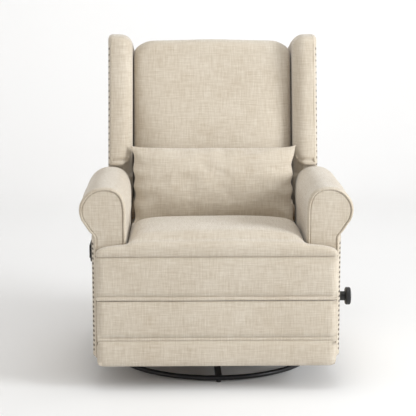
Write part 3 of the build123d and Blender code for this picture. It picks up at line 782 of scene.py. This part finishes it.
def make_footrest():
    low, high = REST_LOW[2], REST_HIGH[2] + 0.0028
    half, back = REST_HIGH[0], REST_HIGH[1]
    seam = low + 0.086

    def belly(bottom, top):
        def rule(x, z):
            t = max(0.0, min(1.0, (z - bottom) / (top - bottom)))
            return 0.0035 * math.sin(math.pi * t) + drape(x, z, 0.0020, 6, 24, 1)
        return rule

    def strip_belly(x, z):
        return wobble((x, 0, 0), 14, 0.0008, 2)

    front = FRONT_Y + 0.002
    upper = panel("rest_upper", -half, half, seam + 0.0046, high, front,
                  back, 0.0050, 0.005, belly(seam, high))
    strip = panel("rest_strip", -half + 0.0012, half - 0.0012, seam - 0.0048, seam + 0.0048, front + 0.0003,
                  back, 0.0028, 0.0028, strip_belly, 0.003)
    lower = panel("rest_lower", -half, half, low, seam - 0.0046, front, back, 0.0050, 0.016, belly(low, seam))
    stitch = panel("rest_stitch", -half + 0.001, half - 0.001, seam - 0.009, seam + 0.009, FRONT_Y + 0.0052,
                   back - 0.004, 0.002, 0.002)
    rest = merged("footrest_soft", [upper, strip, lower, stitch])

    def drift(p, normal):
        near = max(0.0, 1 - abs(p.z - seam) / 0.05)
        return Vector((0, 0, wobble((p.x, 0, 0), 4, 0.0013, 9) * near))

    move_points(rest, drift)
    finish_soft(rest, "footrest", ["footrest_pad"])


# ---- arms and sides -----------------------------------------------------
# the arm's rolled contour in (x, z), from the seat over the roll to the neck
ARM_CURVE = [(0.2765, 0.520), (0.2765, 0.555), (0.281, 0.587), (0.294, 0.612), (0.316, 0.626), (0.345, 0.630),
             (0.373, 0.625), (0.398, 0.609), (0.4155, 0.584), (0.4215, 0.557),
             (0.4155, 0.529), (0.4015, 0.507),
             (0.3895, 0.488)]


def arm_contour(inset):
    """The arm's rolled contour in (x, z), from the seat over the roll to the neck, set in by inset."""
    curve = [Vector(p[:2]) for p in smooth_path([(x, z, 0) for x, z in ARM_CURVE], 4)]
    out = []
    for i, p in enumerate(curve):
        along = curve[min(i + 1, len(curve) - 1)] - curve[max(i - 1, 0)]
        out.append(p + Vector((along.y, -along.x)).normalized() * inset)
    return out


def make_arms():
    neck_z, foot_z, board_x = 0.4838, 0.404, 0.345
    low = [(BODY_HALF - 0.001, neck_z), (board_x, neck_z), (board_x, foot_z), (ARM_CURVE[0][0], foot_z)]
    outline = arm_contour(0.0) + [Vector(p) for p in low]
    arm = pad("arm_soft_right", outline, -ARM_HIGH[1], 0.4095, forward,
              (0.010, 0.010), (0.008, 0.009), step=0.010)
    remesh(arm, 0.0055, 4)

    def rule(p, normal):
        if p.y < -0.395:
            return None
        along = math.sin(math.pi * min(1.0, (p.y + 0.395) / 0.45))
        high = ease((p.z - 0.49) / 0.04) * ease((0.62 - p.z) / 0.05)
        inner = max(0.0, -normal.x) * along * high * 0.006
        return Vector((-inner, 0, 0)) + Vector(normal) * wobble(p, 7, 0.0022, 2)

    move_points(arm, rule)
    left = mirrored(arm, "arm_soft_left")
    finish_soft(arm, "chair_body", ["arm_pad_right"])
    finish_soft(left, "chair_body", ["arm_pad_left"])


def make_arm_fronts():
    """The flat front of each arm, and the welt round it that runs on down the side panel's edge."""
    contour = arm_contour(0.0095)
    side_x, foot_z = BODY_HALF - SPLAY_OUT - 0.0035, 0.425
    foot = [Vector((side_x, 0.474)), Vector((side_x, foot_z)), Vector((contour[0].x, foot_z))]
    face = pad("arm_face_right", contour + foot, 0.404, 0.4135, forward,
               (0.001, 0.001), (0.006, 0.004), step=0.008)
    left = mirrored(face, "arm_face_left")
    finish_soft(face, "chair_body", ["arm_front_right"])
    finish_soft(left, "chair_body", ["arm_front_left"])
    edge = arm_contour(0.0068)
    depth = -0.4125
    down = BODY_HALF - SPLAY_OUT - 0.0005
    path = [(edge[0].x, depth, z) for z in (0.430, 0.46, 0.49)]
    path += [(p.x, depth, p.y) for p in edge[1:-1]]
    path += [(down + 0.0015, depth, 0.478), (down, depth, 0.465)]
    path += [(down, depth, z / 1000) for z in range(440, 110, -15)] + [(down, depth, 0.097)]
    for sign, side in ((1, "right"), (-1, "left")):
        route = [(sign * x, y, z) for x, y, z in smooth_path(path, 3)]
        trim(tube("arm_welt_" + side, route, WELT_R, WELT), "chair_body")


def make_side_panels():
    low, high = PANEL_LOW, PANEL_HIGH
    front, top = low[1], high[2] + 0.002
    corners = [(front, low[2], 0.004), (high[1], low[2], 0.008), (high[1], top, 0.008), (front, top, 0.002)]

    def outer(p):
        near = ease((front + 0.02 - p.x) / 0.02)
        return 0.006 + (SPLAY_BACK - 0.006) * near, 0.005 + (SPLAY_OUT - 0.005) * near

    panel_right = pad("side_soft_right", round_outline(corners), low[0], high[0], sideways,
                      (0.001, 0.001), outer, step=0.010, bend=1.7)
    remesh(panel_right, 0.0050, 1)
    left = mirrored(panel_right, "side_soft_left")
    hole = handle_plug()
    modify(left, "BOOLEAN", operation="DIFFERENCE", solver="EXACT", object=hole)
    bake_modifiers(left)
    bpy.data.objects.remove(hole)
    finish_soft(panel_right, "chair_body", ["side_panel_right"])
    finish_soft(left, "chair_body", ["side_panel_left"])


def handle_plug():
    """The space of the handle's cup, to cut it out of the left side panel."""
    rim = 0.007
    half_y = (BEZEL_HIGH[1] - BEZEL_LOW[1]) / 2 - rim
    half_z = (BEZEL_HIGH[2] - BEZEL_LOW[2]) / 2 - rim
    mid_y = (BEZEL_HIGH[1] + BEZEL_LOW[1]) / 2
    mid_z = (BEZEL_HIGH[2] + BEZEL_LOW[2]) / 2
    corners = [(mid_y - half_y, mid_z - half_z, half_z), (mid_y + half_y, mid_z - half_z, half_z),
               (mid_y + half_y, mid_z + half_z, half_z), (mid_y - half_y, mid_z + half_z, half_z)]
    return pad("plug", round_outline(corners, 12), BEZEL_LOW[0] - 0.01, BEZEL_HIGH[0] + 0.001,
               sideways, (0.0, 0.0), (0.0, 0.0), step=0.008)


def make_rear_panel():
    low, high = REAR_LOW, REAR_HIGH
    spots = ((low[0], low[2]), (high[0], low[2]), (high[0], high[2]), (low[0], high[2]))
    corners = [(x, z, 0.006) for x, z in spots]
    rear = pad("rear_panel_soft", round_outline(corners), low[1], high[1], rearward,
               (0.002, 0.002), (0.005, 0.005), step=0.014)
    remesh(rear, 0.006, 3)
    finish_soft(rear, "chair_body", ["rear_panel"])


# ---- backrest -----------------------------------------------------------
def back_push(x, h):
    """How far the back cushion's face stands out: fullest at the lumbar, fading to the top and the sides."""
    full = 0.036 * math.exp(-((h - 0.22) / 0.24) ** 2) + 0.004
    return full * max(0.0, 1 - (abs(x) / CUSHION_HALF) ** 5)


def make_back_cushion():
    half, top, bottom = CUSHION_HALF, CUSHION_TOP_H, 0.012
    corners = [(-half, bottom, 0.03), (half, bottom, 0.03),
               (half, top - 0.030, 0.05), (half - 0.050, top - 0.004, 0.07), (0, top + 0.001, 0.5),
               (-half + 0.050, top - 0.004, 0.07), (-half, top - 0.030, 0.05)]

    def front_rim(p):
        near_top = 0.020 * ease((p.y - 0.50) / 0.1)
        return 0.022 + near_top, 0.030 + near_top

    back = pad("back_cushion_soft", round_outline(corners), -0.180, 0.0, back_forward,
               (0.012, 0.012), front_rim, step=0.012)
    remesh(back, 0.0065, 6)

    def rule(p, normal):
        x, d, h = off_back(p)
        front = ease((0.09 - d) / 0.09)
        if front <= 0:
            return None
        push = back_push(x, h) * front + wobble(p, 6, 0.0026, 4) * front
        return on_back(x, d - push, h) - Vector(p)

    move_points(back, rule)
    finish_soft(back, "backrest", ["back_cushion"])


def wing_front(z):
    """The y of the wing's front edge at a height."""
    return WING_FOOT_Y + (z - WING_FOOT_Z) * math.tan(LEAN)


def wing_outline():
    """The wing's side outline in (y, z)."""
    rear_low, rear_top = on_back(0, WING_DEPTH, 0.156), on_back(0, WING_DEPTH, 0.598)
    front_low_z, front_top_z, step_y = 0.634, 1.062, 0.067
    return [(wing_front(front_low_z), front_low_z, 0.014), (step_y, front_low_z, 0.0),
            (step_y, 0.490, 0.012), (0.235, 0.510, 0.05),
            (rear_low.y, rear_low.z, 0.02), (rear_top.y, rear_top.z, 0.05),
            (0.330, 1.051, 0.2), (0.215, 1.0672, 0.12), (wing_front(front_top_z), front_top_z, 0.030)]


def make_wings():
    outline = round_outline(wing_outline(), 8)

    def inner_rim(p):
        top = ease((p.y - 1.00) / 0.05)
        front = ease((wing_front(p.y) + 0.06 - p.x) / 0.05)
        inset = 0.008 + max(0.024 * front, 0.030 * top)
        return inset, 0.006 + max(0.036 * front, 0.038 * top)

    def outer_rim(p):
        front = ease((wing_front(p.y) + 0.03 - p.x) / 0.03) * ease((p.y - WING_FOOT_Z) / 0.01)
        top = ease((p.y - 1.035) / 0.02)
        return (0.006 + (WING_SPLAY_BACK - 0.006) * front * (1 - 0.6 * top),
                0.005 + (WING_SPLAY_OUT - 0.005) * max(front, top))

    wing = pad("wing_soft_right", outline, WING_IN, WING_OUT, sideways, inner_rim, outer_rim,
               step=0.010, bend=1.6)
    remesh(wing, 0.0052, 2)

    def rule(p, normal):
        front = wing_front(p.z)
        face = ease((front + 0.10 - p.y) / 0.10)
        if face <= 0 or p.z < 0.60:
            return None
        across = max(0.0, min(1.0, (p.x - WING_IN) / (WING_OUT - WING_IN)))
        belly = 0.005 * math.sin(math.pi * across)
        fold = 0.006 * math.exp(-((p.z - 0.652) / 0.005) ** 2) * ease((0.02 - (p.y - front)) / 0.02)
        tuck = ease((0.69 - p.z) / 0.07) * ease((0.315 - p.x) / 0.045)
        return Vector((0.018 * tuck * face, (fold - belly + wobble(p, 8, 0.0022, 9)) * face, 0))

    move_points(wing, rule)
    left = mirrored(wing, "wing_soft_left")
    finish_soft(wing, "backrest", ["wing_right"])
    finish_soft(left, "backrest", ["wing_left"])
    edge = WING_OUT - WING_SPLAY_OUT - 0.0005
    route = [(edge, wing_front(0.645 + k * 0.02) + 0.0005, 0.645 + k * 0.02) for k in range(20)]
    route += [(edge - 0.0005, 0.1425, 1.044), (edge - 0.002, 0.151, 1.057), (edge - 0.004, 0.175, 1.0635)]
    for sign, side in ((1, "right"), (-1, "left")):
        path = smooth_path([(sign * x, y, z) for x, y, z in route], 3)
        trim(tube("wing_welt_" + side, path, WELT_R, WELT), "backrest")


def make_rear_cover():
    half, front_d, top_h = WING_IN + 0.001, 0.2256, 0.592
    corners = [(-half, 0.055, 0.01), (half, 0.055, 0.01), (half, top_h, 0.02), (-half, top_h, 0.02)]
    thin, soft = (0.002, 0.002), (0.010, 0.010)
    upper = pad("rear_upper", round_outline(corners), front_d, WING_DEPTH, back_rearward,
                thin, soft, step=0.014)
    skirt = [(-0.333, -0.057, 0.01), (0.333, -0.057, 0.01), (0.333, 0.071, 0.02), (-0.333, 0.071, 0.02)]
    lower = pad("rear_lower", round_outline(skirt), front_d, WING_DEPTH, back_rearward,
                thin, soft, step=0.014)
    cap = [(-half, 0.577, 0.004), (half, 0.577, 0.004), (half, top_h, 0.012), (-half, top_h, 0.012)]
    lid = pad("rear_lid", round_outline(cap), 0.184, 0.240, back_rearward, thin, thin, step=0.014)
    cover = merged("rear_cover_soft", [upper, lower, lid])
    remesh(cover, 0.006, 4)
    move_points(cover, lambda p, n: Vector(n) * wobble(p, 6, 0.0016, 11))
    finish_soft(cover, "backrest", ["rear_cover"])


# ---- pillow -------------------------------------------------------------
def gathers(u, v, shift=0.0):
    """The uneven wave of the gathers along an end seam."""
    return math.sin(11.5 * v + 1.3 * math.sin(3.1 * v) + 0.9 * u + shift)


def pucker(u, v, side):
    """Gathers that run in from the end seams, and shallower ones from the long seams."""
    ends = math.exp((abs(u) - 1) / 0.10) * gathers(u, v, side)
    long = math.exp((abs(v) - 1) / 0.22) * math.sin(19.0 * u + 2.0 * math.sin(4.3 * u) + 1.7 * v)
    return PUCKER * (ends + 0.35 * long)


def pillow_point(u, v, side):
    """A point of the filled pillow's two faces: u and v run -1..1 along its edges."""
    body = max(0.0, 1 - abs(u) ** 4.2) ** 0.60 * max(0.0, 1 - abs(v) ** 2.5) ** 0.62
    scallop = 0.010 * abs(u) ** 10 * gathers(u, v)
    pulled_x = u * (1 - 0.068 * (1 - v ** 2) ** 0.5 - scallop) * (1 - 0.030 * ease(-v))
    pulled_z = v * (1 - 0.105 * (1 - u ** 8))
    deep = body * (PILLOW_DEPTH / 2) + pucker(u, v, side) * min(1.0, 2.5 * body)
    return Vector((pulled_x * PILLOW_W / 2, side * deep, pulled_z * PILLOW_H / 2))


def crowded(i, count):
    """The place -1..1 of a grid line, closer together near both edges."""
    return math.sin((i / count - 0.5) * GRID_BEND) / math.sin(GRID_BEND / 2)


def make_pillow():
    """Two faces sewn at their edges: full in the middle, pulled in between the corners."""
    nx, nz = PILLOW_GRID
    verts, faces = [], []
    rows = {}
    for side in (-1, 1):
        for j in range(nz + 1):
            for i in range(nx + 1):
                if side == 1 and (i in (0, nx) or j in (0, nz)):
                    rows[side, i, j] = rows[-1, i, j]
                    continue
                rows[side, i, j] = len(verts)
                verts.append(pillow_point(crowded(i, nx), crowded(j, nz), side))
    for side in (-1, 1):
        for j in range(nz):
            for i in range(nx):
                corners = ((i, j), (i + 1, j), (i + 1, j + 1), (i, j + 1))
                quad = [rows[side, a, b] for a, b in corners]
                faces.append(quad if side == -1 else quad[::-1])
    pillow = piece("lumbar_pillow_soft", verts, faces)
    move_points(pillow, lambda p, n: Vector(n) * wobble(p, 14, 0.0020, 5))
    inflate(pillow, PILLOW_PRESSURE, PILLOW_CAP, PILLOW_FRAMES, PILLOW_STIFFNESS)
    pillow.data.transform(Matrix.Translation((0, *PILLOW_AT)) @ Matrix.Rotation(-PILLOW_LEAN, 4, "X"))
    finish_soft(pillow, "pillow", ["lumbar_pillow"])


dress_cad_nodes()
make_camera()
make_studio()
make_seat()
make_front_border()
make_footrest()
make_arms()
make_arm_fronts()
make_side_panels()
make_rear_panel()
make_back_cushion()
make_wings()
make_rear_cover()
make_pillow()
